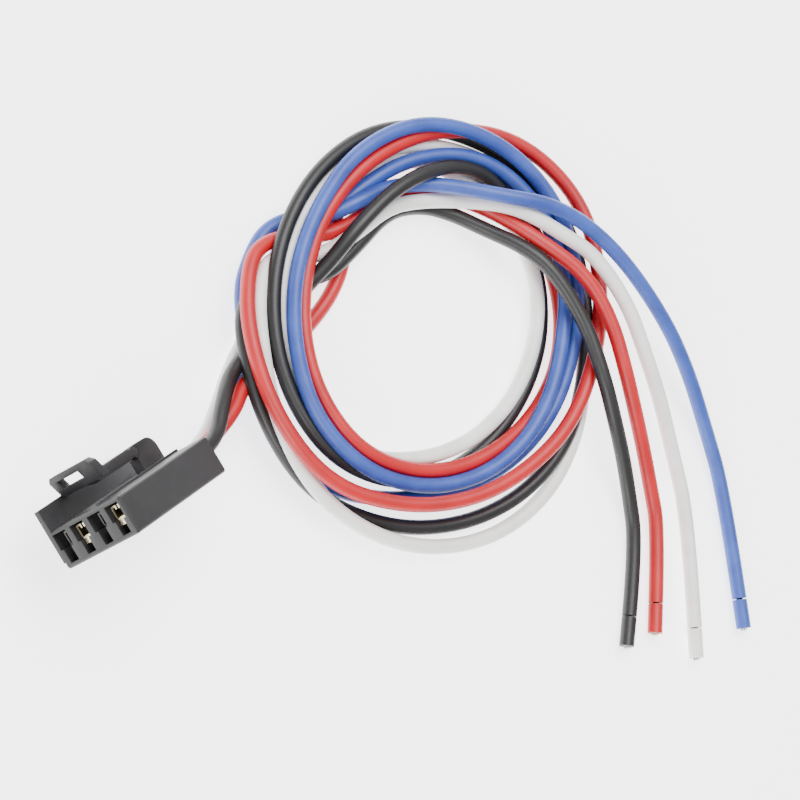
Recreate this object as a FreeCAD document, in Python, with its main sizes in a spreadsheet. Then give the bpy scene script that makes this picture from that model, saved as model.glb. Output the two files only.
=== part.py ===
import FreeCAD, Part

import math
import os

import Sketcher

Vector = FreeCAD.Vector

# A four-way wiring lead for a trailer brake controller: a moulded plug with a
# sprung latch, four crimped terminals, and four single wires that lie in a loose
# round coil and end cut.
#
# World frame: +Z up, floor at Z = 0, origin under the middle of the plug.
# Plug frame: x along the row of cavities, y from the plug's bottom to its latch,
# z from the wire end (0) to the mating face.

document = FreeCAD.newDocument("brake_controller_lead")
sheet = document.addObject("Spreadsheet::Sheet", "sizes")

DIMENSIONS = {
    # moulded housing
    "body_wide": 19.5,
    "body_deep": 7.8,
    "body_long": 31.0,
    "rim_chamfer": 0.4,
    "corner_round": 0.7,
    "end_wall_thick": 1.1,
    "end_wall_rise": 4.5,
    "rib_at": 11.2,
    "rib_wide": 0.8,
    "rib_rise": 0.45,
    "rib_long": 28.0,
    # cavities, one behind each keyhole opening
    "cavity_pitch": 4.7,
    "cavity_first": 2.7,
    "cavity_floor": 3.8,
    "cavity_wide": 3.4,
    "cavity_tall": 3.25,
    "slot_wide": 2.1,
    "slot_low": 0.9,
    "cavity_back": 3.5,
    "bore_radius": 1.75,
    "bore_high": 5.2,
    # latch: its foot is moulded to the housing, and the arm turns at the foot
    "foot_at": 6.1,
    "foot_wide": 2.3,
    "foot_rise": 5.4,
    "foot_round": 2.6,
    "hinge_ahead": 7.0,
    "hinge_rise": 4.2,
    "knuckle_radius": 1.2,
    "knuckle_play": 0.08,
    "arm_low": 3.2,
    "arm_high": 5.4,
    "neck_from": 19.4,
    "neck_to": 22.4,
    "neck_rise": 0.2,
    "ear_at": 1.4,
    "ear_wide": 11.1,
    "ear_thick": 2.2,
    "ear_low": 3.9,
    "ear_high": 8.4,
    "ear_lean": 1.9,
    "ear_front": 25.2,
    "ear_corner": 0.9,
    "window_in": 1.8,
    "window_wide": 5.6,
    "window_low": 5.5,
    "window_high": 7.1,
    # terminals
    "terminal_wide": 3.0,
    "terminal_tall": 2.7,
    "terminal_sheet": 0.35,
    "terminal_back": 13.0,
    "terminal_front": 28.1,
    "terminal_step": 1.5,
    "curl_gap": 0.45,
    "curl_in": 0.4,
    "curl_down": 0.8,
    "tongue_wide": 1.8,
    "tongue_tall": 1.2,
    "tongue_long": 5.0,
    "strip_wide": 1.9,
    "crimp_back": 4.4,
    "crimp_long": 6.0,
    "crimp_radius": 1.3,
    # wire
    "wire_radius": 1.55,
    "core_radius": 0.75,
    "core_play": 0.02,
    "core_long": 6.4,
    "score_gap": 0.3,
    "slug_long": 6.0,
    "core_proud": 0.35,
    # coil of the wound length
    "coil_outer_radius": 46.0,
    "coil_outer_x": 79.0,
    "coil_outer_y": -8.0,
    "coil_inner_radius": 26.5,
    "coil_inner_x": 81.0,
    "coil_inner_y": -3.0,
    "coil_high": 8.5,
    "coil_round": 3.0,
    # how the plug lies: on the edge of its narrow end, with its nose up
    "nose_up_degrees": 27.0,
}

for row, (alias, size) in enumerate(DIMENSIONS.items(), start=1):
    sheet.set("A%d" % row, alias)
    sheet.set("B%d" % row, str(size))
    sheet.setAlias("B%d" % row, alias)
document.recompute()


def size_of(alias):
    return float(getattr(sheet, alias))


WIRES = ("blue", "white", "red", "black")          # from the low cavity to the high one
NOSE_UP = math.radians(size_of("nose_up_degrees"))
EAR_TOP = size_of("body_deep") + size_of("ear_high")

# The plug's rear lower edge is on the floor, and its box is centred on the origin.
plug_reach = size_of("body_wide") * math.sin(NOSE_UP) + size_of("body_long") * math.cos(NOSE_UP)
PLUG_PLACE = FreeCAD.Placement(
    Vector(size_of("body_long") * math.cos(NOSE_UP) - plug_reach / 2, -EAR_TOP / 2, 0),
    FreeCAD.Rotation(Vector(0, 1, 0), size_of("nose_up_degrees") - 90),
)

# Hand-laid routes of the free stretches, in the world frame, in millimetres.
# Each lead goes from its cavity to the coil, and starts with the exit run.
LEAD_ROUTES = {
    "black": [(28.9, 3.2, 9.6), (36.2, 7.3, 5.05)],
    "red": [(30.5, -0.2, 7.0), (37.0, 3.8, 4.85)],
    "white": [(23.5, -1.8, 4.7), (31.0, 2.9, 3.0), (37.5, 7.5, 1.65)],
    "blue": [(18.5, -3.2, 1.75), (27.5, -2.4, 1.65), (37.8, 3.4, 1.65)],
}
EXIT_RUN = {"black": 5.0, "red": 4.5, "white": 3.5, "blue": 1.2}

# The black lead rises from under the coil's left side and crosses the hole above the tails.
BRIDGE_ROUTE = [(56.6, 12.8, 4.7), (65.1, 15.2, 8.3), (73.2, 18.6, 11.6), (83.4, 20.9, 11.6),
                (91.7, 21.0, 11.0), (99.9, 19.4, 8.9), (106.5, 15.6, 6.5), (109.8, 10.7, 4.9)]

# Each tail leaves the coil at the top of the hole, rises over the coil's right
# side in one long low hump, comes down to the floor and runs out to its cut end.
TAIL_ROUTES = {
    "black": [(64.4, 13.1, 4.7), (73.7, 14.9, 4.6), (85.4, 17.8, 2.6), (93.6, 15.2, 1.65),
              (98.4, 10.5, 2.6), (102.2, 4.3, 4.5), (105.6, -2.8, 8.8), (107.5, -9.8, 11.0),
              (107.8, -22.6, 11.0), (105.6, -33.2, 11.2), (103.4, -45.5, 9.6), (101.8, -57.0, 3.4),
              (97.0, -67.5, 1.65), (87.0, -79.0, 1.65)],
    "red": [(69.3, 20.2, 4.7), (76.3, 19.3, 4.8), (86.6, 21.5, 2.6), (95.9, 18.6, 1.65),
            (100.6, 13.4, 2.4), (103.8, 9.2, 4.3), (106.3, 4.1, 6.8), (109.0, -3.4, 10.0),
            (113.7, -14.2, 11.2), (113.4, -25.3, 11.1), (110.7, -36.6, 10.9), (110.6, -44.5, 8.4),
            (109.0, -56.5, 2.6), (103.5, -67.5, 1.65), (94.0, -80.0, 1.65)],
    "white": [(66.4, 17.0, 4.8), (73.6, 17.4, 7.8), (84.6, 18.6, 5.9), (92.9, 15.9, 5.2),
              (100.7, 11.4, 6.1), (105.9, 7.0, 9.3), (109.9, 2.3, 10.5), (113.7, -5.0, 11.5),
              (117.6, -11.4, 11.4), (118.9, -23.5, 11.1), (116.0, -35.0, 11.3), (119.2, -43.5, 5.6),
              (116.8, -55.5, 1.8), (111.0, -69.5, 1.65), (99.0, -89.0, 1.65)],
    "blue": [(71.4, 23.3, 4.9), (78.0, 22.6, 7.2), (86.3, 22.2, 6.2), (93.5, 19.0, 7.0),
             (98.9, 14.6, 9.8), (105.3, 8.4, 12.7), (112.8, 2.7, 13.2), (119.3, -4.8, 11.8),
             (123.3, -15.9, 11.5), (125.7, -32.8, 10.2), (128.2, -41.5, 3.0), (127.0, -54.5, 1.65),
             (122.0, -69.0, 1.65), (112.0, -89.6, 1.65)],
}


# --- sketch and feature helpers -------------------------------------------------

def origin_plane(body, role):
    for feature in body.Origin.OriginFeatures:
        if feature.Role == role:
            return feature
    raise ValueError("no plane " + role)


def new_body(label):
    body = document.addObject("PartDesign::Body", label)
    body.Label = label
    return body


def new_sketch(body, name, role="XY_Plane", offset=None):
    sketch = body.newObject("Sketcher::SketchObject", name)
    sketch.AttachmentSupport = [(origin_plane(body, role), "")]
    sketch.MapMode = "FlatFace"
    if offset:
        sketch.setExpression("AttachmentOffset.Base.z", offset)
    return sketch


def bind_distance(sketch, kind, geometry, point, expression):
    index = sketch.addConstraint(Sketcher.Constraint(kind, -1, 1, geometry, point, 1.0))
    sketch.setExpression("Constraints[%d]" % index, expression)


def evaluate(expression):
    return float(sheet.evalExpression(expression.replace("sizes.", "")))


def draw_polygon(sketch, corners):
    """Closed outline whose corners are pairs of expressions on the sheet."""
    points = [Vector(evaluate(across), evaluate(up), 0) for across, up in corners]
    lines = [Part.LineSegment(start, end) for start, end in zip(points, points[1:] + points[:1])]
    first = sketch.GeometryCount
    sketch.addGeometry(lines, False)
    count = len(lines)
    for index in range(count):
        following = first + (index + 1) % count
        sketch.addConstraint(Sketcher.Constraint("Coincident", first + index, 2, following, 1))
    for index, (across, up) in enumerate(corners):
        for kind, expression, value in (("DistanceX", across, points[index].x), ("DistanceY", up, points[index].y)):
            constraint = Sketcher.Constraint(kind, -1, 1, first + index, 1, value)
            number = sketch.addConstraint(constraint)
            sketch.setExpression("Constraints[%d]" % number, expression)


def draw_rectangle(sketch, left, low, right, high):
    draw_polygon(sketch, [(left, low), (right, low), (right, high), (left, high)])


def draw_circle(sketch, across, up, radius):
    centre = Vector(evaluate(across), evaluate(up), 0)
    geometry = sketch.addGeometry(Part.Circle(centre, Vector(0, 0, 1), evaluate(radius)), False)
    places = (("DistanceX", across, centre.x), ("DistanceY", up, centre.y))
    for kind, expression, value in places:
        number = sketch.addConstraint(Sketcher.Constraint(kind, -1, 1, geometry, 3, value))
        sketch.setExpression("Constraints[%d]" % number, expression)
    number = sketch.addConstraint(Sketcher.Constraint("Radius", geometry, evaluate(radius)))
    sketch.setExpression("Constraints[%d]" % number, radius)


def pad(body, sketch, name, length):
    feature = body.newObject("PartDesign::Pad", name)
    feature.Profile = sketch
    feature.setExpression("Length", length)
    sketch.Visibility = False
    document.recompute()
    return feature


def pocket(body, sketch, name, length):
    """Cut along the sketch's own normal, and check that it took material away."""
    before = body.Shape.Volume
    feature = body.newObject("PartDesign::Pocket", name)
    feature.Profile = sketch
    feature.Reversed = True
    feature.setExpression("Length", length)
    document.recompute()
    if body.Shape.Volume >= before:
        raise ValueError(name + " cuts nothing")
    return feature


def repeat_along_row(body, features, name):
    pattern = body.newObject("PartDesign::LinearPattern", name)
    pattern.Originals = features
    pattern.Direction = (origin_plane(body, "X_Axis"), [""])
    pattern.setExpression("Length", "sizes.cavity_pitch * 3")
    pattern.Occurrences = len(WIRES)
    body.Tip = pattern
    document.recompute()
    return pattern


def edges_where(shape, test):
    names = []
    for index, edge in enumerate(shape.Edges, start=1):
        ends = [vertex.Point for vertex in edge.Vertexes]
        if len(ends) == 2 and test(ends[0], ends[1]):
            names.append("Edge%d" % index)
    return names


def round_edges(body, name, radius, test, kind="PartDesign::Fillet"):
    base = body.Tip
    names = edges_where(base.Shape, test)
    if not names:
        raise ValueError(name + " finds no edge")
    feature = body.newObject(kind, name)
    feature.Base = (base, names)
    feature.setExpression("Radius" if kind.endswith("Fillet") else "Size", radius)
    body.Tip = feature
    document.recompute()
    return feature


def near(first, second):
    return abs(first - second) < 1e-4


# --- housing --------------------------------------------------------------------

def make_housing():
    body = new_body("connector_housing")
    wide = size_of("body_wide")
    deep = size_of("body_deep")
    long = size_of("body_long")

    block = new_sketch(body, "block_outline")
    draw_rectangle(block, "0 mm", "0 mm", "sizes.body_wide", "sizes.body_deep")
    pad(body, block, "block", "sizes.body_long")

    def on_long_edge(start, end):
        along = near(start.x, end.x) and near(start.y, end.y)
        return along and not (near(start.x, 0) and near(start.y, deep))

    round_edges(body, "long_corners", "sizes.corner_round", on_long_edge)

    def on_front_rim(start, end):
        return near(start.z, long) and near(end.z, long) and not (near(start.y, deep) and near(end.y, deep))

    round_edges(body, "front_rim", "sizes.rim_chamfer", on_front_rim, "PartDesign::Chamfer")

    wall = new_sketch(body, "end_wall_outline")
    draw_rectangle(wall, "0 mm", "sizes.corner_round * 2", "sizes.end_wall_thick",
                   "sizes.body_deep + sizes.end_wall_rise")
    pad(body, wall, "end_wall", "sizes.body_long")

    rib = new_sketch(body, "rib_outline")
    draw_rectangle(rib, "sizes.rib_at", "sizes.body_deep - sizes.rib_wide",
                   "sizes.rib_at + sizes.rib_wide", "sizes.body_deep + sizes.rib_rise")
    pad(body, rib, "guide_rib", "sizes.rib_long")

    foot = new_sketch(body, "foot_profile", "YZ_Plane", "sizes.foot_at")
    draw_rectangle(foot, "sizes.body_deep - sizes.rib_wide", "0 mm",
                   "sizes.body_deep + sizes.foot_rise", "sizes.hinge_ahead")
    pad(body, foot, "latch_foot", "sizes.foot_wide")

    foot_top = deep + size_of("foot_rise")

    def on_foot_back(start, end):
        return near(start.z, 0) and near(end.z, 0) and near(start.y, foot_top) and near(end.y, foot_top)

    round_edges(body, "foot_back", "sizes.foot_round", on_foot_back)

    cradle = new_sketch(body, "cradle_profile", "YZ_Plane", "sizes.foot_at - sizes.rib_wide")
    draw_circle(cradle, "sizes.body_deep + sizes.hinge_rise", "sizes.hinge_ahead",
                "sizes.knuckle_radius + sizes.knuckle_play")
    pocket(body, cradle, "hinge_cradle", "sizes.foot_wide + 2 * sizes.rib_wide")

    upper = new_sketch(body, "cavity_outline", offset="sizes.cavity_back")
    draw_rectangle(upper, "sizes.cavity_first - sizes.cavity_wide / 2", "sizes.cavity_floor",
                   "sizes.cavity_first + sizes.cavity_wide / 2", "sizes.cavity_floor + sizes.cavity_tall")
    upper_cut = pocket(body, upper, "cavity", "sizes.body_long")

    slot = new_sketch(body, "slot_outline", offset="sizes.terminal_back")
    draw_rectangle(slot, "sizes.cavity_first - sizes.slot_wide / 2", "sizes.slot_low",
                   "sizes.cavity_first + sizes.slot_wide / 2", "sizes.cavity_floor + sizes.terminal_sheet")
    slot_cut = pocket(body, slot, "slot", "sizes.body_long")

    bore = new_sketch(body, "bore_outline")
    draw_circle(bore, "sizes.cavity_first", "sizes.bore_high", "sizes.bore_radius")
    bore_cut = pocket(body, bore, "wire_bore", "sizes.cavity_back")

    repeat_along_row(body, [upper_cut, slot_cut, bore_cut], "four_ways")
    body.Placement = PLUG_PLACE
    return body


# --- latch ----------------------------------------------------------------------

def make_latch():
    body = new_body("latch_arm")
    top = EAR_TOP

    knuckle = new_sketch(body, "knuckle_profile", "YZ_Plane", "sizes.foot_at")
    draw_circle(knuckle, "sizes.body_deep + sizes.hinge_rise", "sizes.hinge_ahead", "sizes.knuckle_radius")
    pad(body, knuckle, "knuckle", "sizes.foot_wide")

    low = "sizes.body_deep + sizes.arm_low"
    high = "sizes.body_deep + sizes.arm_high"
    arm = new_sketch(body, "arm_profile", "YZ_Plane", "sizes.foot_at")
    start = "sizes.hinge_ahead + sizes.knuckle_radius * 1.5"
    draw_polygon(arm, [
        ("sizes.body_deep + sizes.hinge_rise - sizes.knuckle_radius / 2", "sizes.hinge_ahead"),
        (low, start),
        (low, "sizes.neck_from"),
        ("sizes.body_deep + sizes.ear_low + sizes.neck_rise", "sizes.neck_to"),
        (high, "sizes.neck_to"),
        (high, start),
        ("sizes.body_deep + sizes.hinge_rise + sizes.knuckle_radius / 2", "sizes.hinge_ahead"),
    ])
    pad(body, arm, "arm", "sizes.foot_wide")

    ear = new_sketch(body, "ear_profile", "YZ_Plane", "sizes.ear_at")
    draw_polygon(ear, [
        ("sizes.body_deep + sizes.ear_low", "sizes.ear_front - sizes.ear_lean - sizes.ear_thick"),
        ("sizes.body_deep + sizes.ear_low", "sizes.ear_front - sizes.ear_lean"),
        ("sizes.body_deep + sizes.ear_high", "sizes.ear_front"),
        ("sizes.body_deep + sizes.ear_high", "sizes.ear_front - sizes.ear_thick"),
    ])
    pad(body, ear, "ear", "sizes.ear_wide")

    def on_ear_corner(start, end):
        return near(start.y, top) and near(end.y, top) and near(start.x, end.x)

    round_edges(body, "ear_corners", "sizes.ear_corner", on_ear_corner, "PartDesign::Chamfer")

    window = new_sketch(body, "window_outline", offset="sizes.neck_from")
    draw_rectangle(window, "sizes.ear_at + sizes.window_in", "sizes.body_deep + sizes.window_low",
                   "sizes.ear_at + sizes.window_in + sizes.window_wide", "sizes.body_deep + sizes.window_high")
    pocket(body, window, "ear_window", "sizes.body_long")

    body.Placement = PLUG_PLACE
    return body


# --- terminals and crimped cores ------------------------------------------------

def cavity_middle(way):
    return size_of("cavity_first") + way * size_of("cavity_pitch")


def plug_place_moved(across, up, forward):
    return PLUG_PLACE.multiply(FreeCAD.Placement(Vector(across, up, forward), FreeCAD.Rotation()))


def make_terminal(way, wire):
    """A folded receptacle with curled lips, a tongue under it and a crimp barrel behind."""
    body = new_body("terminal_" + wire)
    thick = "sizes.terminal_sheet"
    inner = "(sizes.terminal_wide - sizes.terminal_sheet)"
    tall = "sizes.terminal_tall"
    left_lip = "(sizes.terminal_wide - sizes.curl_gap) / 2"
    right_lip = "(sizes.terminal_wide + sizes.curl_gap) / 2"

    channel = new_sketch(body, "receptacle_outline", offset="sizes.terminal_back")
    draw_polygon(channel, [
        ("0 mm", "0 mm"),
        ("sizes.terminal_wide", "0 mm"),
        ("sizes.terminal_wide", tall),
        (right_lip, tall),
        (right_lip, tall + " - sizes.curl_down"),
        (right_lip + " + " + thick, tall + " - sizes.curl_down"),
        (right_lip + " + " + thick, tall + " - " + thick),
        (inner, tall + " - " + thick),
        (inner, thick),
        (thick, thick),
        (thick, tall + " - " + thick),
        (left_lip + " - " + thick, tall + " - " + thick),
        (left_lip + " - " + thick, tall + " - sizes.curl_down"),
        (left_lip, tall + " - sizes.curl_down"),
        (left_lip, tall),
        ("0 mm", tall),
    ])
    pad(body, channel, "receptacle", "sizes.terminal_front - sizes.terminal_back")

    # The tongue hangs in the slot below, so its outline is drawn from its own lower edge.
    tongue = new_sketch(body, "tongue_outline", offset="sizes.terminal_front - sizes.tongue_long")
    tongue.setExpression("AttachmentOffset.Base.y", "-sizes.tongue_tall")
    draw_rectangle(tongue, "(sizes.terminal_wide - sizes.tongue_wide) / 2", "0 mm",
                   "(sizes.terminal_wide + sizes.tongue_wide) / 2", "sizes.tongue_tall + sizes.terminal_sheet / 2")
    pad(body, tongue, "tongue", "sizes.tongue_long + sizes.curl_in")

    middle = "sizes.terminal_wide / 2"
    barrel_high = "sizes.bore_high - sizes.cavity_floor"
    strip = new_sketch(body, "strip_outline", offset="sizes.crimp_back")
    draw_rectangle(strip, "(sizes.terminal_wide - sizes.strip_wide) / 2", "0 mm",
                   "(sizes.terminal_wide + sizes.strip_wide) / 2", thick)
    pad(body, strip, "strip", "sizes.terminal_back - sizes.crimp_back + sizes.curl_in")

    barrel = new_sketch(body, "barrel_outline", offset="sizes.crimp_back")
    draw_circle(barrel, middle, barrel_high, "sizes.crimp_radius")
    pad(body, barrel, "barrel", "sizes.crimp_long")

    bore = new_sketch(body, "barrel_bore_outline", offset="sizes.crimp_back")
    draw_circle(bore, middle, barrel_high, "sizes.core_radius + sizes.core_play")
    pocket(body, bore, "barrel_bore", "sizes.crimp_long")

    forward = size_of("terminal_step") * (way % 2)
    across = cavity_middle(way) - size_of("terminal_wide") / 2
    body.Placement = plug_place_moved(across, size_of("cavity_floor"), forward)
    return body


def make_core(name, length_expression):
    core = document.addObject("Part::Cylinder", name)
    core.Label = name
    core.setExpression("Radius", "sizes.core_radius")
    core.setExpression("Height", length_expression)
    return core


# --- wires ----------------------------------------------------------------------

def tube_path(points):
    """Straight runs joined by tangent arcs, each as large as its two runs allow."""
    corners = [Vector(*point) for point in points]
    edges = []
    radii = []
    cursor = corners[0]
    for before, corner, after in zip(corners, corners[1:], corners[2:]):
        run_in = corner - before
        run_out = after - corner
        turn = run_in.getAngle(run_out)
        trim = 0.45 * min(run_in.Length, run_out.Length)
        radius = trim / math.tan(turn / 2)
        into = Vector(run_in).normalize()
        out_of = Vector(run_out).normalize()
        arc_start = corner - into * trim
        arc_end = corner + out_of * trim
        inward = Vector(out_of - into).normalize()
        middle = corner + inward * (radius / math.cos(turn / 2) - radius)
        edges.append(Part.LineSegment(cursor, arc_start).toShape())
        edges.append(Part.Arc(arc_start, middle, arc_end).toShape())
        radii.append(radius)
        cursor = arc_end
    edges.append(Part.LineSegment(cursor, corners[-1]).toShape())
    return Part.Wire(edges), radii


def make_tube(name, points):
    """One round wire along a route, closed at both ends."""
    radius = size_of("wire_radius")
    path, radii = tube_path(points)
    start = Vector(*points[0])
    ahead = Vector(*points[1]) - start
    section = Part.Wire([Part.makeCircle(radius, start, ahead)])
    solid = path.makePipeShell([section], True, False)
    expected = math.pi * radius ** 2 * path.Length
    ratio = solid.Volume / expected
    rounded = ", ".join("%.0f" % value for value in radii)
    print("%s: %.0f mm long, volume ratio %.4f, radii %s mm" % (name, path.Length, ratio, rounded))
    if abs(ratio - 1) > 0.01:
        raise ValueError(name + " has a wrong volume")
    tube = document.addObject("Part::Feature", name)
    tube.Label = name
    tube.Shape = solid
    return tube, path.Length


def exit_points(way, wire):
    """The lead's start inside the housing and the end of its straight exit run."""
    across = cavity_middle(way)
    up = size_of("bore_high")
    inside = PLUG_PLACE.multVec(Vector(across, up, size_of("cavity_back")))
    outside = PLUG_PLACE.multVec(Vector(across, up, -EXIT_RUN[wire]))
    return [tuple(inside), tuple(outside)]


def straight_end(points):
    """The last point of a route and the direction in which it arrives there."""
    last = Vector(*points[-1])
    return last, (last - Vector(*points[-2])).normalize()


def place_along(point, direction):
    return FreeCAD.Placement(point, FreeCAD.Rotation(Vector(0, 0, 1), direction))


def make_cut_end(wire):
    """The last length of insulation, scored free, and the bared core that carries it."""
    last, direction = straight_end(TAIL_ROUTES[wire])

    slug_name = "end_slug_" + wire
    outer = document.addObject("Part::Cylinder", slug_name + "_outer")
    outer.setExpression("Radius", "sizes.wire_radius")
    outer.setExpression("Height", "sizes.slug_long")
    hole = document.addObject("Part::Cylinder", slug_name + "_hole")
    hole.setExpression("Radius", "sizes.core_radius + sizes.core_play")
    hole.setExpression("Height", "sizes.slug_long")
    slug = document.addObject("Part::Cut", slug_name)
    slug.Label = slug_name
    slug.Base = outer
    slug.Tool = hole
    slug.Placement = place_along(last + direction * size_of("score_gap"), direction)

    core = make_core("end_strands_" + wire, "sizes.score_gap + sizes.slug_long + sizes.core_proud")
    core.Placement = place_along(last, direction)
    return [slug, core]


def make_coil():
    """The outer shape of the loosely wound turns: a ring whose hole is off centre."""
    outer = document.addObject("Part::Cylinder", "coil_outer")
    outer.setExpression("Radius", "sizes.coil_outer_radius")
    outer.setExpression("Height", "sizes.coil_high")
    outer.setExpression("Placement.Base.x", "sizes.coil_outer_x")
    outer.setExpression("Placement.Base.y", "sizes.coil_outer_y")
    hole = document.addObject("Part::Cylinder", "coil_hole")
    hole.setExpression("Radius", "sizes.coil_inner_radius")
    hole.setExpression("Height", "sizes.coil_high")
    hole.setExpression("Placement.Base.x", "sizes.coil_inner_x")
    hole.setExpression("Placement.Base.y", "sizes.coil_inner_y")
    ring = document.addObject("Part::Cut", "coil_ring")
    ring.Base = outer
    ring.Tool = hole
    document.recompute()
    radius = size_of("coil_round")
    rims = [index for index, edge in enumerate(ring.Shape.Edges, start=1) if len(edge.Vertexes) == 1]
    coil = document.addObject("Part::Fillet", "wire_coil")
    coil.Label = "wire_coil"
    coil.Base = ring
    coil.Edges = [(index, radius, radius) for index in rims]
    document.recompute()
    return coil


# --- the whole lead -------------------------------------------------------------

def build():
    pieces = [make_housing(), make_latch()]
    for way, wire in enumerate(WIRES):
        pieces.append(make_terminal(way, wire))
        core = make_core("crimped_core_" + wire, "sizes.core_long")
        core.Placement = plug_place_moved(cavity_middle(way), size_of("bore_high"), size_of("cavity_back"))
        pieces.append(core)
        lead, lead_length = make_tube("wire_lead_" + wire, exit_points(way, wire) + LEAD_ROUTES[wire])
        tail, tail_length = make_tube("wire_tail_" + wire, TAIL_ROUTES[wire])
        pieces.extend([lead, tail])
        pieces.extend(make_cut_end(wire))
    bridge, bridge_length = make_tube("wire_bridge_black", BRIDGE_ROUTE)
    pieces.append(bridge)
    pieces.append(make_coil())
    return pieces


def check_and_export(pieces):
    document.recompute()
    for item in document.Objects:
        if "Invalid" in item.State or "Error" in item.State:
            raise ValueError(item.Name + " failed: " + ", ".join(item.State))
    os.makedirs("parts", exist_ok=True)
    for piece in pieces:
        shape = piece.Shape
        if shape.isNull() or not shape.isValid():
            raise ValueError(piece.Label + " has no valid shape")
        shape.exportStep(os.path.join("parts", piece.Label + ".step"))
        box = shape.BoundBox
        print("%-24s solids %d  x %.1f..%.1f  y %.1f..%.1f  z %.2f..%.2f" % (
            piece.Label, len(shape.Solids), box.XMin, box.XMax, box.YMin, box.YMax, box.ZMin, box.ZMax))


check_and_export(build())
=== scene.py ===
"""Looks for the trailer brake controller lead: a moulded plug on four loosely coiled wires."""

import math

import bmesh
import bpy
import numpy as np
from mathutils import Matrix, Vector


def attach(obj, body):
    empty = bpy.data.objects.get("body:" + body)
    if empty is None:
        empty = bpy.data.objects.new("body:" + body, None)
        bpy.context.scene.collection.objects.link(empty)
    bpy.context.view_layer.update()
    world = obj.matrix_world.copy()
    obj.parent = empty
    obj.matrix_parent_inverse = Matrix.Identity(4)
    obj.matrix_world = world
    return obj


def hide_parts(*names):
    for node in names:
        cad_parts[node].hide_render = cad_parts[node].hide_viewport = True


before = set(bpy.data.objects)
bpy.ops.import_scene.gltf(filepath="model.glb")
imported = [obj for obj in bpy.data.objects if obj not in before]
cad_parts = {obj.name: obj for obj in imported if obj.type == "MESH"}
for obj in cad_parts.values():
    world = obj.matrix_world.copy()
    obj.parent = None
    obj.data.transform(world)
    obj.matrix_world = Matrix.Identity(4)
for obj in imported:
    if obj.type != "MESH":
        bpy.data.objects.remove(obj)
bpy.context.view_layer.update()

MM = 0.001
PLUG = "plug"
LATCH = "latch"
WIRE_RADIUS = 1.55
WIRE_DIAMETER = 2 * WIRE_RADIUS
# From the plug's low cavity to its high one.
WIRES = ("blue", "white", "red", "black")


# --- camera ---------------------------------------------------------------------

CAMERA_PLACE = (-237.9, 32.1, 571.4)
CAMERA_RIGHT = (0.742, -0.507, 0.439)
CAMERA_UP = (0.478, 0.859, 0.183)
CAMERA_BACK = (-0.470, 0.074, 0.879)
CAMERA_LENS = 145
CAMERA_SENSOR = 36
CAMERA_SEES = (0.01, 20)


def make_camera():
    data = bpy.data.cameras.new("camera")
    data.lens = CAMERA_LENS
    data.sensor_width = CAMERA_SENSOR
    data.clip_start, data.clip_end = CAMERA_SEES
    camera = bpy.data.objects.new("camera", data)
    turn = Matrix((CAMERA_RIGHT, CAMERA_UP, CAMERA_BACK)).transposed()
    camera.matrix_world = Matrix.Translation(Vector(CAMERA_PLACE) * MM) @ turn.to_4x4()
    bpy.context.collection.objects.link(camera)
    bpy.context.scene.camera = camera


make_camera()


# --- the plug's own frame -------------------------------------------------------

BODY_WIDE = 19.5
BODY_LONG = 31.0
EAR_TOP = 16.2
NOSE_UP = math.radians(27)
CAVITY_FIRST = 2.7
CAVITY_PITCH = 4.7
CAVITY_BACK = 3.5
BORE_HIGH = 5.2
PLUG_REACH = BODY_WIDE * math.sin(NOSE_UP) + BODY_LONG * math.cos(NOSE_UP)
PLUG_MATRIX = Matrix((
    (math.sin(NOSE_UP), 0, -math.cos(NOSE_UP), BODY_LONG * math.cos(NOSE_UP) - PLUG_REACH / 2),
    (0, 1, 0, -EAR_TOP / 2),
    (math.cos(NOSE_UP), 0, math.sin(NOSE_UP), 0),
    (0, 0, 0, 1),
))


def on_plug(across, up, forward):
    """A point of the plug's own frame (x along the cavities, z to the mating face), in mm."""
    return PLUG_MATRIX @ Vector((across, up, forward))


def cavity_middle(way):
    return CAVITY_FIRST + way * CAVITY_PITCH


# --- routes of the wires --------------------------------------------------------

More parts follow.
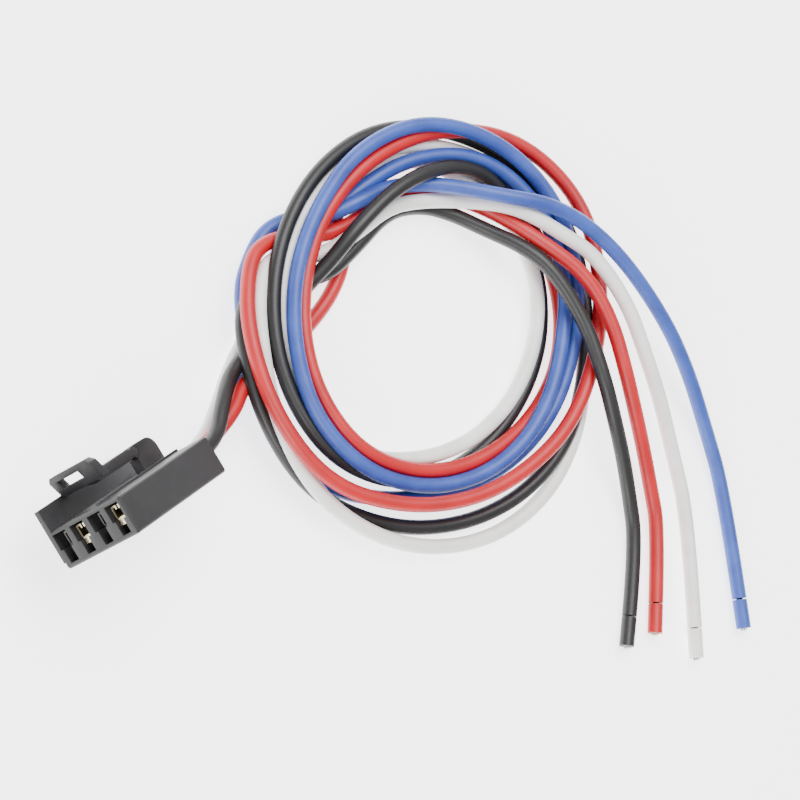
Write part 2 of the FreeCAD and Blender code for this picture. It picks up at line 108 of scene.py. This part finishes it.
# The points of the free stretches, in millimetres. They are those of the CAD model, but for the
# lower part of the tails, which bends more smoothly here.
LEAD_ROUTES = {
    "black": [(28.9, 3.2, 9.6), (36.2, 7.3, 5.05)],
    "red": [(30.5, -0.2, 7.0), (37.0, 3.8, 4.85)],
    "white": [(23.5, -1.8, 4.7), (31.0, 2.9, 3.0), (37.5, 7.5, 1.65)],
    "blue": [(18.5, -3.2, 1.75), (27.5, -2.4, 1.65), (37.8, 3.4, 1.65)],
}
EXIT_RUN = {"black": 5.0, "red": 4.5, "white": 3.5, "blue": 1.2}
BRIDGE_ROUTE = [(56.6, 12.8, 4.7), (65.1, 15.2, 8.3), (73.2, 18.6, 11.6), (83.4, 20.9, 11.6),
                (91.7, 21.0, 11.0), (99.9, 19.4, 8.9), (106.5, 15.6, 6.5), (109.8, 10.7, 4.9)]
TAIL_ROUTES = {
    "black": [(64.4, 13.1, 4.7), (73.7, 14.9, 4.6), (85.4, 17.8, 2.6), (93.6, 15.2, 1.65),
              (98.4, 10.5, 2.6), (102.2, 4.3, 4.5), (105.6, -2.8, 8.8), (107.5, -9.8, 11.0),
              (107.8, -22.6, 11.0), (104.9, -34.6, 10.9), (103.2, -42.3, 9.3),
              (102.2, -50.0, 6.4), (100.6, -58.0, 3.3), (97.0, -67.5, 1.65), (87.0, -79.0, 1.65)],
    "red": [(69.3, 20.2, 4.7), (76.3, 19.3, 4.8), (86.6, 21.5, 2.6), (95.9, 18.6, 1.65),
            (100.6, 13.4, 2.4), (103.8, 9.2, 4.3), (106.3, 4.1, 6.8), (109.0, -3.4, 10.0),
            (113.7, -14.2, 11.2), (113.4, -25.3, 11.1), (110.4, -35.4, 10.8), (108.6, -44.2, 8.6),
            (107.5, -52.1, 5.6), (106.0, -60.0, 2.8), (103.5, -67.5, 1.65), (94.0, -80.0, 1.65)],
    "white": [(66.4, 17.0, 4.8), (73.6, 17.4, 7.8), (84.6, 18.6, 5.9), (92.9, 15.9, 5.2),
              (100.7, 11.4, 6.1), (105.9, 7.0, 9.3), (109.9, 2.3, 10.5), (113.7, -5.0, 11.5),
              (117.6, -11.4, 11.4), (118.9, -23.5, 11.1), (116.9, -34.0, 10.6), (115.9, -44.4, 8.0),
              (114.6, -55.2, 4.0), (111.0, -69.5, 1.65), (99.0, -89.0, 1.65)],
    "blue": [(71.4, 23.3, 4.9), (78.0, 22.6, 7.2), (86.3, 22.2, 6.2), (93.5, 19.0, 7.0),
             (98.9, 14.6, 9.8), (105.3, 8.4, 12.7), (112.8, 2.7, 13.2), (119.3, -4.8, 11.8),
             (123.3, -15.9, 11.5), (125.6, -31.4, 9.8), (126.2, -43.6, 6.4),
             (125.3, -55.4, 2.8), (122.0, -69.0, 1.65), (112.0, -89.6, 1.65)],
}

# Between lead and turns: the wires pass under the coil's left side.
ENTRY_ROUTES = {
    "black": [(46.4, 9.6, 4.8)],
    "red": [(46.0, 5.0, 4.8), (55.5, 6.6, 2.2), (64.5, 10.0, 1.65), (71.0, 15.5, 1.65),
            (73.0, 22.5, 1.65), (73.5, 30.5, 1.8)],
    "white": [(43.5, 11.0, 1.65), (50.0, 16.2, 1.65), (57.5, 21.2, 1.65), (66.5, 25.6, 1.8)],
    "blue": [(44.0, 6.2, 1.65), (50.5, 11.0, 1.65), (57.5, 16.0, 1.65), (64.5, 20.4, 1.65),
             (72.5, 23.8, 2.8)],
}

# The turns: direction from the coil's middle (degrees, clockwise as they run down),
# distance from it and height. turn_points sets a point about every TURN_STEP degrees.
COIL_MIDDLE = (79.0, -8.0)
TURN_STEP = 24
TURNS = {
    "black": [(22, 34.6, 3), (-13, 28.0, 3), (-38, 24.8, 3), (-82, 24.3, 2), (-123, 29.4, 2),
              (-169, 37.5, 7.8), (-205, 38.1, 8), (-231, 38.8, 8), (-258, 40.3, 7.5),
              (-282, 42.4, 6), (-308, 43.0, 4), (-350, 42.0, 3), (-391, 36.0, 3),
              (-423, 37.5, 3), (-438, 38.1, 3), (-487, 40.9, 3), (-523, 44.7, 5),
              (-548, 44.6, 8), (-568, 43.6, 7.6)],
    "red": [(80, 41.0, 3), (40, 38.0, 3), (0, 33.0, 3), (-30, 30.5, 3), (-82, 26.9, 5),
            (-130, 29.3, 6), (-162, 32.2, 8.5), (-204, 31.2, 8), (-236, 32.5, 8),
            (-256, 34.8, 7.6), (-278, 38.3, 7.6), (-296, 41.5, 7), (-315, 46.0, 5),
            (-337, 48.5, 5), (-357, 46.3, 5), (-391, 36.5, 7), (-409, 35.2, 8),
            (-439, 33.4, 8), (-491, 36.9, 8), (-528, 42.5, 8.5), (-550, 42.2, 9.5),
            (-568, 42.3, 8.4)],
    "white": [(90, 34.8, 4), (66, 38.0, 4), (30, 34.5, 5), (-4, 29.4, 6), (-33, 24.6, 6),
              (-98, 23.0, 6), (-132, 26.9, 6), (-161, 32.8, 6.6), (-210, 35.4, 7),
              (-248, 37.2, 6.5), (-270, 38.5, 5.5), (-301, 38.7, 4), (-345, 39.0, 3),
              (-391, 35.7, 3), (-447, 42.4, 2), (-486, 46.0, 3), (-525, 46.0, 6),
              (-548, 43.2, 8), (-566, 41.0, 7.6)],
    "blue": [(88, 33.2, 5.2), (69, 36.1, 6), (50, 40.2, 6.2), (17, 39.2, 6), (-32, 29.1, 7),
             (-83, 28.9, 6), (-130, 32.5, 6), (-169, 35.8, 9), (-204, 34.0, 9.5),
             (-233, 34.6, 10.5), (-259, 36.6, 10.5), (-279, 40.6, 10.5), (-302, 43.7, 10),
             (-334, 42.7, 9), (-391, 32.8, 7), (-437, 31.4, 5), (-487, 34.2, 3),
             (-526, 41.5, 4.6), (-548, 40.6, 6.4), (-565, 38.9, 5.4)],
}

# From the turns into the tails: the last turn dives under the first and bends inwards.
DIVE_ROUTES = {
    "black": [(46.2, 17.3, 6.2), (52.3, 18.6, 5.0), (58.4, 15.8, 4.7)],
    "red": [(50.7, 22.8, 6.2), (56.8, 24.8, 5.2), (63.1, 23.0, 4.8)],
    "white": [(48.1, 17.6, 6.6), (54.4, 21.4, 5.2), (60.6, 19.6, 4.8)],
    "blue": [(48.4, 17.6, 4.6), (54.6, 22.6, 3.0), (60.6, 26.2, 2.2), (66.4, 25.9, 3.6)],
}


def smooth_between(knots, where):
    """Value of a smooth curve through (position, value) knots whose positions run down."""
    places = np.array([-knot[0] for knot in knots], float)
    values = np.array([knot[1] for knot in knots], float)
    slopes = np.gradient(values, places)
    where = np.clip(-where, places[0], places[-1])
    index = int(np.clip(np.searchsorted(places, where) - 1, 0, len(places) - 2))
    span = places[index + 1] - places[index]
    t = (where - places[index]) / span
    start, end = values[index], values[index + 1]
    return float((2 * t**3 - 3 * t**2 + 1) * start + (t**3 - 2 * t**2 + t) * span * slopes[index]
                 + (3 * t**2 - 2 * t**3) * end + (t**3 - t**2) * span * slopes[index + 1])


def turn_points(wire):
    knots = TURNS[wire]
    first, last = knots[0][0], knots[-1][0]
    count = round((first - last) / TURN_STEP)
    points = []
    for index in range(count + 1):
        degrees = first + (last - first) * index / count
        distance = smooth_between([(knot[0], knot[1]) for knot in knots], degrees)
        height = smooth_between([(knot[0], knot[2]) for knot in knots], degrees)
        angle = math.radians(degrees)
        points.append((COIL_MIDDLE[0] + distance * math.cos(angle),
                       COIL_MIDDLE[1] + distance * math.sin(angle), height))
    return points


def wire_route(way, wire):
    """All control points of one wire, and which of them may move when the coil settles."""
    start = tuple(on_plug(cavity_middle(way), BORE_HIGH, CAVITY_BACK))
    run_end = tuple(on_plug(cavity_middle(way), BORE_HIGH, -EXIT_RUN[wire]))
    parts = [([start, run_end] + LEAD_ROUTES[wire], 0.0), (ENTRY_ROUTES[wire], 1.0)]
    if wire == "black":
        parts.append((BRIDGE_ROUTE, 0.0))
    parts += [(turn_points(wire), 1.0), (DIVE_ROUTES[wire], 1.0), (TAIL_ROUTES[wire], 0.0)]
    points = np.array([point for part, _ in parts for point in part], float)
    free = np.array([freedom for part, freedom in parts for _ in part])
    return points, free


# --- settling -------------------------------------------------------------------

SAMPLES_PER_RUN = 5
SETTLE_STEPS = 260
SETTLE_REACH = 1.01            # wire diameters within which two wires push each other
SETTLE_PUSH = 0.6
SETTLE_GAIN = 1.6
FLOOR_MARGIN = 0.03
FLOOR_CLEARANCE = 0.04
FLOOR_PUSH = 0.8
FALL_PER_STEP = 0.015
NEIGHBOUR_RUNS = 3             # a wire doesn't push its own runs nearer than this
FAR_AWAY = 99.0
OVERLAP_SHARE = 0.9            # nearer than this share of a diameter counts as overlap


def spline_weights(count):
    """Rows of weights that give points on an order 3 spline clamped at both ends."""
    knots = np.concatenate([[0, 0], np.arange(count - 1), [count - 2, count - 2]]).astype(float)
    places = np.linspace(0, count - 2, (count - 2) * SAMPLES_PER_RUN + 1)
    places[-1] -= 1e-9
    starts_before = knots[None, :-1] <= places[:, None]
    ends_after = places[:, None] < knots[None, 1:]
    basis = (starts_before & ends_after).astype(float)
    for degree in (1, 2):
        lower = knots[:-degree - 1]
        upper = knots[degree + 1:]
        rise = knots[degree:-1] - lower
        fall = upper - knots[1:-degree]
        shape = (len(places), len(lower))
        left = np.divide(places[:, None] - lower, rise, out=np.zeros(shape), where=rise > 0)
        right = np.divide(upper - places[:, None], fall, out=np.zeros(shape), where=fall > 0)
        basis = left * basis[:, :-1] + right * basis[:, 1:]
    return basis


def settle(routes, frees):
    """Pushes the coil's points apart where wires cross, and lets the wires sink to the floor.

    It runs a set number of steps, so crossings that are still too close stay as they are.
    """
    weights = [spline_weights(len(route)) for route in routes]
    starts = [route.copy() for route in routes]
    owner = np.concatenate([np.full(len(weight), index) for index, weight in enumerate(weights)])
    order = np.concatenate([np.arange(len(weight)) for weight in weights])
    sample_free = np.concatenate([weight @ free for weight, free in zip(weights, frees)])
    apart = np.abs(order[:, None] - order[None, :]) > SAMPLES_PER_RUN * NEIGHBOUR_RUNS
    may_touch = (owner[:, None] != owner[None, :]) | apart
    for _ in range(SETTLE_STEPS):
        samples = np.concatenate([weight @ route for weight, route in zip(weights, routes)])
        gap = samples[:, None, :] - samples[None, :, :]
        distance = np.sqrt((gap ** 2).sum(axis=2)) + 1e-6
        reach = WIRE_DIAMETER * SETTLE_REACH
        close = may_touch & (distance < reach)
        share = sample_free[:, None] / (sample_free[:, None] + sample_free[None, :] + 1e-3)
        push = np.where(close, (reach - distance) * share / distance, 0.0)
        shift = (gap * push[:, :, None]).sum(axis=1) * SETTLE_PUSH
        below = WIRE_RADIUS + FLOOR_MARGIN - samples[:, 2]
        shift[:, 2] += np.where(below > 0, below * FLOOR_PUSH, -FALL_PER_STEP)
        position = 0
        for index, weight in enumerate(weights):
            part = shift[position:position + len(weight)]
            position += len(weight)
            move = (weight.T @ part) / (weight.sum(axis=0)[:, None] + 1e-6) * SETTLE_GAIN
            routes[index] += move * frees[index][:, None]
            offset = routes[index] - starts[index]
            even = offset.copy()
            even[1:-1] = (offset[:-2] + 2 * offset[1:-1] + offset[2:]) / 4
            routes[index] = starts[index] + even * frees[index][:, None]
            lowest = WIRE_RADIUS + FLOOR_CLEARANCE
            routes[index][:, 2] = np.maximum(routes[index][:, 2], lowest)
    samples = np.concatenate([weight @ route for weight, route in zip(weights, routes)])
    distance = np.sqrt(((samples[:, None, :] - samples[None, :, :]) ** 2).sum(axis=2))
    nearest = np.where(may_touch, distance, FAR_AWAY)
    overlapping = int((nearest.min(axis=1) < WIRE_DIAMETER * OVERLAP_SHARE).sum())
    print("settled: nearest %.2f mm, overlapping samples %d of %d, lowest %.2f, highest %.2f" % (
        nearest.min(), overlapping, len(samples), samples[:, 2].min(), samples[:, 2].max()))
    return routes


# --- cords ----------------------------------------------------------------------

STRAND_RADIUS = 0.145
STRANDS_LONG = 6.6
STRANDS_TWIST = 2.2
STRANDS_UNEVEN = 0.22
STRANDS_START = 0.05           # first ring, just inside the cut insulation
STRAND_STEPS = 8
STRAND_SIDES = 8
STRAND_TIP = 0.55              # width of a strand's last ring
SPLAY_FROM = 0.9               # share of the length after which the strands part
INNER_RING = (6, 0.29)         # strands in the ring, and its distance from the middle
OUTER_RING = (12, 0.575)
CORD_SMOOTHNESS = 8


def make_cord_curve(name, points):
    data = bpy.data.curves.new(name, "CURVE")
    data.dimensions = "3D"
    spline = data.splines.new("NURBS")
    spline.points.add(len(points) - 1)
    for point, place in zip(spline.points, points):
        point.co = (*(Vector(place) * MM), 1.0)
        point.radius = WIRE_RADIUS * MM
    spline.order_u = 3
    spline.use_endpoint_u = True
    spline.resolution_u = CORD_SMOOTHNESS
    data.bevel_depth = 1.0                         # times each point's own radius
    data.bevel_resolution = CORD_SMOOTHNESS
    data.use_fill_caps = True
    piece = bpy.data.objects.new(name, data)
    bpy.context.collection.objects.link(piece)
    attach(piece, PLUG)
    return piece


def route_length(points):
    weight = spline_weights(len(points))
    samples = weight @ points
    return float(np.linalg.norm(np.diff(samples, axis=0), axis=1).sum())


def along(point, direction, across, turn, reach, travel):
    """A point beside an axis: turned about it, at a distance, some way along."""
    side = direction.cross(across)
    return point + direction * travel + (across * math.cos(turn) + side * math.sin(turn)) * reach


def make_strands(wire):
    """The bared core of a cut end: nineteen fine wires with a slight twist, cut unevenly."""
    last = Vector(TAIL_ROUTES[wire][-1])
    direction = (last - Vector(TAIL_ROUTES[wire][-2])).normalized()
    across = direction.cross(Vector((0, 0, 1))).normalized()
    shape = bmesh.new()
    inner, inner_reach = INNER_RING
    outer, outer_reach = OUTER_RING
    spots = [(0.0, 0.0)] + [(inner_reach, index * math.tau / inner) for index in range(inner)]
    spots += [(outer_reach, (index + 0.5) * math.tau / outer) for index in range(outer)]
    for number, (reach, start_turn) in enumerate(spots):
        length = STRANDS_LONG + STRANDS_UNEVEN * math.sin(2.4 * number + len(wire))
        rings = []
        for step in range(STRAND_STEPS + 1):
            part = step / STRAND_STEPS
            travel = STRANDS_START + part * (length - STRANDS_START)
            splay = 1.0 + max(0.0, part - SPLAY_FROM)
            turn = start_turn + part * STRANDS_TWIST
            middle = along(last, direction, across, turn, reach * splay, travel)
            size = STRAND_RADIUS * (STRAND_TIP if step == STRAND_STEPS else 1.0)
            ring = [along(middle, direction, across, index * math.tau / STRAND_SIDES, size, 0)
                    for index in range(STRAND_SIDES)]
            rings.append([shape.verts.new(place * MM) for place in ring])
        for lower, upper in zip(rings, rings[1:]):
            for index in range(STRAND_SIDES):
                following = (index + 1) % STRAND_SIDES
                corners = (lower[index], lower[following], upper[following], upper[index])
                shape.faces.new(corners).smooth = True
        shape.faces.new(rings[-1])
        shape.faces.new(list(reversed(rings[0])))
    mesh = bpy.data.meshes.new("cut_strands_" + wire)
    shape.to_mesh(mesh)
    shape.free()
    piece = bpy.data.objects.new("cut_strands_" + wire, mesh)
    bpy.context.collection.objects.link(piece)
    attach(piece, PLUG)
    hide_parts("end_strands_" + wire)
    return piece


def make_cords():
    routes, frees = zip(*[wire_route(way, wire) for way, wire in enumerate(WIRES)])
    routes = list(routes)
    routes = settle(routes, list(frees))
    pieces = {}
    ends = {}
    for way, wire in enumerate(WIRES):
        ends[wire] = make_strands(wire)
        piece = make_cord_curve("wire_" + wire, routes[way])
        hidden = ["wire_lead_" + wire, "wire_tail_" + wire]
        if wire == "black":
            hidden += ["wire_bridge_black", "wire_coil"]
        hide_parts(*hidden)
        length = route_length(routes[way])
        print("cord", wire, "points", len(routes[way]), "length %.1f mm" % length)
        pieces[wire] = piece
    return pieces, ends


cords, strand_ends = make_cords()


# --- moulded pieces -------------------------------------------------------------

SHARP_DEGREES = 32             # edges that turn more than this are softened
SHADE_DEGREES = 40             # after softening, edges past this are shaded as sharp
SAME_PLANE_DEGREES = 1
SAME_PLACE = 1e-7
EDGE_SOFTNESS = 0.14
EDGE_SEGMENTS = 3


def soften(node, name, body):
    """A copy of a CAD piece whose sharp edges have the small radius of a moulded part."""
    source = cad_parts[node]
    shape = bmesh.new()
    shape.from_mesh(source.data)
    bmesh.ops.remove_doubles(shape, verts=shape.verts, dist=SAME_PLACE)
    bmesh.ops.dissolve_limit(shape, angle_limit=math.radians(SAME_PLANE_DEGREES),
                             verts=shape.verts, edges=shape.edges)
    sharp_angle = math.radians(SHARP_DEGREES)
    sharp = [edge for edge in shape.edges
             if len(edge.link_faces) == 2 and edge.calc_face_angle() > sharp_angle]
    bmesh.ops.bevel(shape, geom=sharp, offset=EDGE_SOFTNESS * MM, offset_type="OFFSET",
                    segments=EDGE_SEGMENTS, profile=0.5, clamp_overlap=True, affect="EDGES")
    for face in shape.faces:
        face.smooth = True
    mesh = bpy.data.meshes.new(name)
    shape.to_mesh(mesh)
    shape.free()
    mesh.set_sharp_from_angle(angle=math.radians(SHADE_DEGREES))
    piece = bpy.data.objects.new(name, mesh)
    bpy.context.collection.objects.link(piece)
    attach(piece, body)
    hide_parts(node)
    return piece


plug_moulding = soften("connector_housing", "plug_moulding", PLUG)
latch_moulding = soften("latch_arm", "latch_moulding", LATCH)


# --- materials ------------------------------------------------------------------

def srgb(red, green, blue):
    """Linear colour of an 8-bit display colour."""
    values = [channel / 255 for channel in (red, green, blue)]
    linear = [v / 12.92 if v <= 0.04045 else ((v + 0.055) / 1.055) ** 2.4 for v in values]
    return tuple(linear) + (1.0,)


def new_material(name):
    material = bpy.data.materials.new(name)
    material.use_nodes = True
    nodes = material.node_tree.nodes
    return material, nodes, material.node_tree.links, nodes["Principled BSDF"]


def object_noise(nodes, links, scale, detail, roughness, stretch=(1, 1, 1)):
    """Noise laid in the object's own space, finer with a larger scale."""
    place = nodes.new("ShaderNodeTexCoord")
    mapping = nodes.new("ShaderNodeMapping")
    mapping.inputs["Scale"].default_value = stretch
    noise = nodes.new("ShaderNodeTexNoise")
    noise.inputs["Scale"].default_value = scale
    noise.inputs["Detail"].default_value = detail
    noise.inputs["Roughness"].default_value = roughness
    links.new(place.outputs["Object"], mapping.inputs["Vector"])
    links.new(mapping.outputs["Vector"], noise.inputs["Vector"])
    return noise


RAMP_FROM = 0.35
RAMP_TO = 0.65


def ramp(nodes, links, source, low, high):
    """From one colour to another over the middle part of a noise."""
    element = nodes.new("ShaderNodeValToRGB")
    element.color_ramp.elements[0].position = RAMP_FROM
    element.color_ramp.elements[0].color = low
    element.color_ramp.elements[1].position = RAMP_TO
    element.color_ramp.elements[1].color = high
    links.new(source, element.inputs["Fac"])
    return element


def value_range(nodes, links, source, low, high):
    element = nodes.new("ShaderNodeMapRange")
    element.inputs["To Min"].default_value = low
    element.inputs["To Max"].default_value = high
    links.new(source, element.inputs["Value"])
    return element


def add_bump(nodes, links, shader, source, strength, distance):
    bump = nodes.new("ShaderNodeBump")
    bump.inputs["Strength"].default_value = strength
    bump.inputs["Distance"].default_value = distance
    links.new(source, bump.inputs["Height"])
    links.new(bump.outputs["Normal"], shader.inputs["Normal"])


def vinyl(name, dark, light):
    """Smooth soft wire insulation: faint mottling, a fine grain and a soft gloss."""
    material, nodes, links, shader = new_material(name)
    mottle = object_noise(nodes, links, 140, 4.0, 0.55)
    colour = ramp(nodes, links, mottle.outputs["Fac"], dark, light)
    links.new(colour.outputs["Color"], shader.inputs["Base Color"])
    gloss = object_noise(nodes, links, 420, 3.0, 0.6)
    rough = value_range(nodes, links, gloss.outputs["Fac"], 0.40, 0.52)
    links.new(rough.outputs["Result"], shader.inputs["Roughness"])
    fine = object_noise(nodes, links, 1500, 3.0, 0.55)
    add_bump(nodes, links, shader, fine.outputs["Fac"], 0.12, 0.00006)
    shader.inputs["IOR"].default_value = 1.53
    shader.inputs["Coat Weight"].default_value = 0.06
    shader.inputs["Coat Roughness"].default_value = 0.25
    return material


def moulded_black():
    """Matt black moulding with a faint cloudiness and a fine spark-eroded grain."""
    material, nodes, links, shader = new_material("moulded_black")
    cloud = object_noise(nodes, links, 160, 4.0, 0.6)
    colour = ramp(nodes, links, cloud.outputs["Fac"], srgb(24, 24, 26), srgb(34, 33, 35))
    links.new(colour.outputs["Color"], shader.inputs["Base Color"])
    rough = value_range(nodes, links, cloud.outputs["Fac"], 0.42, 0.58)
    links.new(rough.outputs["Result"], shader.inputs["Roughness"])
    grain = object_noise(nodes, links, 5200, 2.0, 0.5)
    add_bump(nodes, links, shader, grain.outputs["Fac"], 0.35, 0.00005)
    shader.inputs["IOR"].default_value = 1.50
    return material


def tinned(name, dark, light, rough_low, rough_high):
    """Tin plate on thin rolled brass: soft stains and fine rolling marks."""
    material, nodes, links, shader = new_material(name)
    stain = object_noise(nodes, links, 700, 4.0, 0.6)
    colour = ramp(nodes, links, stain.outputs["Fac"], dark, light)
    links.new(colour.outputs["Color"], shader.inputs["Base Color"])
    rolled = object_noise(nodes, links, 900, 3.0, 0.6, (0.25, 1, 3))
    rough = value_range(nodes, links, rolled.outputs["Fac"], rough_low, rough_high)
    links.new(rough.outputs["Result"], shader.inputs["Roughness"])
    add_bump(nodes, links, shader, rolled.outputs["Fac"], 0.2, 0.00004)
    shader.inputs["Metallic"].default_value = 1.0
    return material


VINYL = {
    "black": vinyl("vinyl_black", srgb(15, 15, 16), srgb(23, 22, 24)),
    "red": vinyl("vinyl_red", srgb(176, 4, 14), srgb(192, 8, 20)),
    "white": vinyl("vinyl_white", srgb(233, 232, 228), srgb(245, 244, 241)),
    "blue": vinyl("vinyl_blue", srgb(42, 68, 150), srgb(54, 84, 170)),
}
HOUSING = moulded_black()
TIN_BRIGHT = tinned("tin_bright", srgb(176, 174, 168), srgb(214, 212, 205), 0.22, 0.38)
TIN_WARM = tinned("tin_warm", srgb(186, 172, 138), srgb(222, 210, 178), 0.22, 0.38)
STRANDS = tinned("strands_tinned", srgb(150, 144, 136), srgb(206, 202, 196), 0.28, 0.45)


def dress(piece, material):
    """Gives every material slot of an object the same material."""
    slots = piece.data.materials
    if len(slots) == 0:
        slots.append(material)
    for index in range(len(slots)):
        slots[index] = material


for wire, piece in cords.items():
    dress(piece, VINYL[wire])
for way, wire in enumerate(WIRES):
    dress(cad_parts["end_slug_" + wire], VINYL[wire])
    dress(strand_ends[wire], STRANDS)
    dress(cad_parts["crimped_core_" + wire], STRANDS)
    dress(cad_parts["terminal_" + wire], TIN_WARM if way % 2 else TIN_BRIGHT)
dress(plug_moulding, HOUSING)
dress(latch_moulding, HOUSING)


# --- floor and light ------------------------------------------------------------

FLOOR_GLOW = 2.6
FLOOR_HALF_SIDE = 4.0
WORLD_STRENGTH = 0.85


def make_floor():
    mesh = bpy.data.meshes.new("floor")
    shape = bmesh.new()
    bmesh.ops.create_grid(shape, x_segments=1, y_segments=1, size=FLOOR_HALF_SIDE)
    shape.to_mesh(mesh)
    shape.free()
    floor = bpy.data.objects.new("floor", mesh)
    bpy.context.collection.objects.link(floor)
    material, nodes, links, shader = new_material("pale_floor")
    cloud = object_noise(nodes, links, 3, 2.0, 0.5)
    colour = ramp(nodes, links, cloud.outputs["Fac"], srgb(244, 244, 244), srgb(248, 248, 248))
    links.new(colour.outputs["Color"], shader.inputs["Base Color"])
    shader.inputs["Roughness"].default_value = 0.9
    shader.inputs["Emission Color"].default_value = (1.0, 1.0, 1.0, 1.0)
    shader.inputs["Emission Strength"].default_value = FLOOR_GLOW
    mesh.materials.append(material)


def make_light(name, place, aim, size, power):
    data = bpy.data.lights.new(name, "AREA")
    data.shape = "DISK"
    data.size = size
    data.energy = power
    light = bpy.data.objects.new(name, data)
    light.location = Vector(place)
    direction = Vector(aim) - Vector(place)
    light.rotation_euler = direction.to_track_quat("-Z", "Y").to_euler()
    bpy.context.collection.objects.link(light)


def make_world():
    world = bpy.data.worlds.new("studio")
    world.use_nodes = True
    background = world.node_tree.nodes["Background"]
    background.inputs["Color"].default_value = (1.0, 1.0, 1.0, 1.0)
    background.inputs["Strength"].default_value = WORLD_STRENGTH
    bpy.context.scene.world = world


make_floor()
make_world()
make_light("key", place=(0.30, 0.35, 1.0), aim=(0.06, -0.02, 0), size=0.9, power=17)
make_light("fill", place=(-0.7, -0.15, 0.55), aim=(0.0, 0.0, 0), size=0.5, power=6)

bpy.context.view_layer.update()
